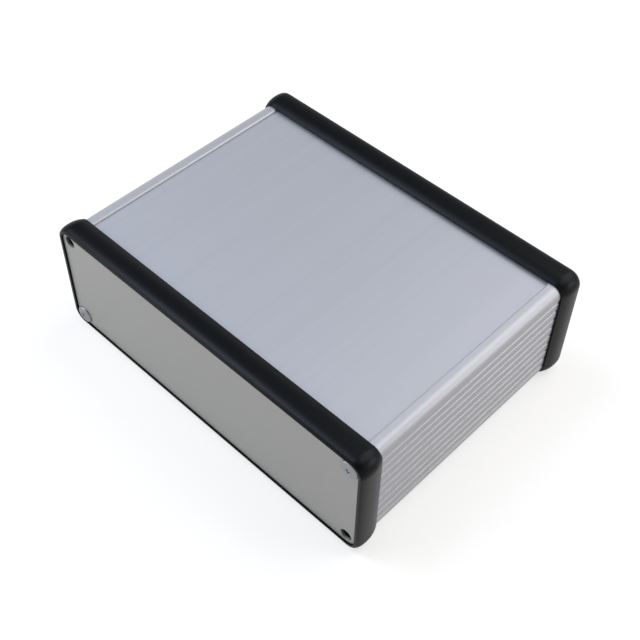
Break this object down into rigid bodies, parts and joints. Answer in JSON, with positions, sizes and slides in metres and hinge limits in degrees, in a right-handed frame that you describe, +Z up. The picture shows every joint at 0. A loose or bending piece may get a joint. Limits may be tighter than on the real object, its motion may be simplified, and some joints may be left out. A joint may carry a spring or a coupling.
{
  "type": "extruded aluminium enclosure",
  "caption": "Flat instrument enclosure: a grooved aluminium channel extrusion with a slide-in cover, moulded black end bezels and screwed-on flat end panels.",
  "frame": {"origin": "bottom centre of the enclosure's bounding box, on the surface it stands on", "axes": "+X to the right across the width, +Y from the front panel to the rear panel along the extrusion, +Z up"},
  "size_m": [0.1696, 0.129, 0.0562],
  "materials": {
    "anodised_extrusion": "satin clear anodised, with fine die lines along the length",
    "black_plastic": "moulded black plastic with a satin sheen",
    "panel_aluminium": "fine matt anodised sheet",
    "zinc_steel": "bright zinc plate"
  },
  "bodies": {
    "case": {"body_extrusion": "anodised_extrusion", "front_bezel": "black_plastic", "front_panel": "panel_aluminium", "front_screw_upper": "zinc_steel", "front_screw_lower": "zinc_steel"},
    "rear_end": {"rear_bezel": "black_plastic", "rear_panel": "panel_aluminium", "rear_screw_upper": "zinc_steel", "rear_screw_lower": "zinc_steel"},
    "cover": {"cover_plate": "anodised_extrusion"}
  },
  "joints": [
    {"name": "rear_end_slide", "type": "slide", "parent": "case", "child": "rear_end", "axis": [0, 1, 0], "range_m": [0, 0.2]},
    {"name": "cover_slide", "type": "slide", "parent": "case", "child": "cover", "axis": [0, 1, 0], "range_m": [0, 0.1]}
  ],
  "couplings": [
    {"joint": "cover_slide", "follows": "rear_end_slide", "ratio": 0.5}
  ]
}
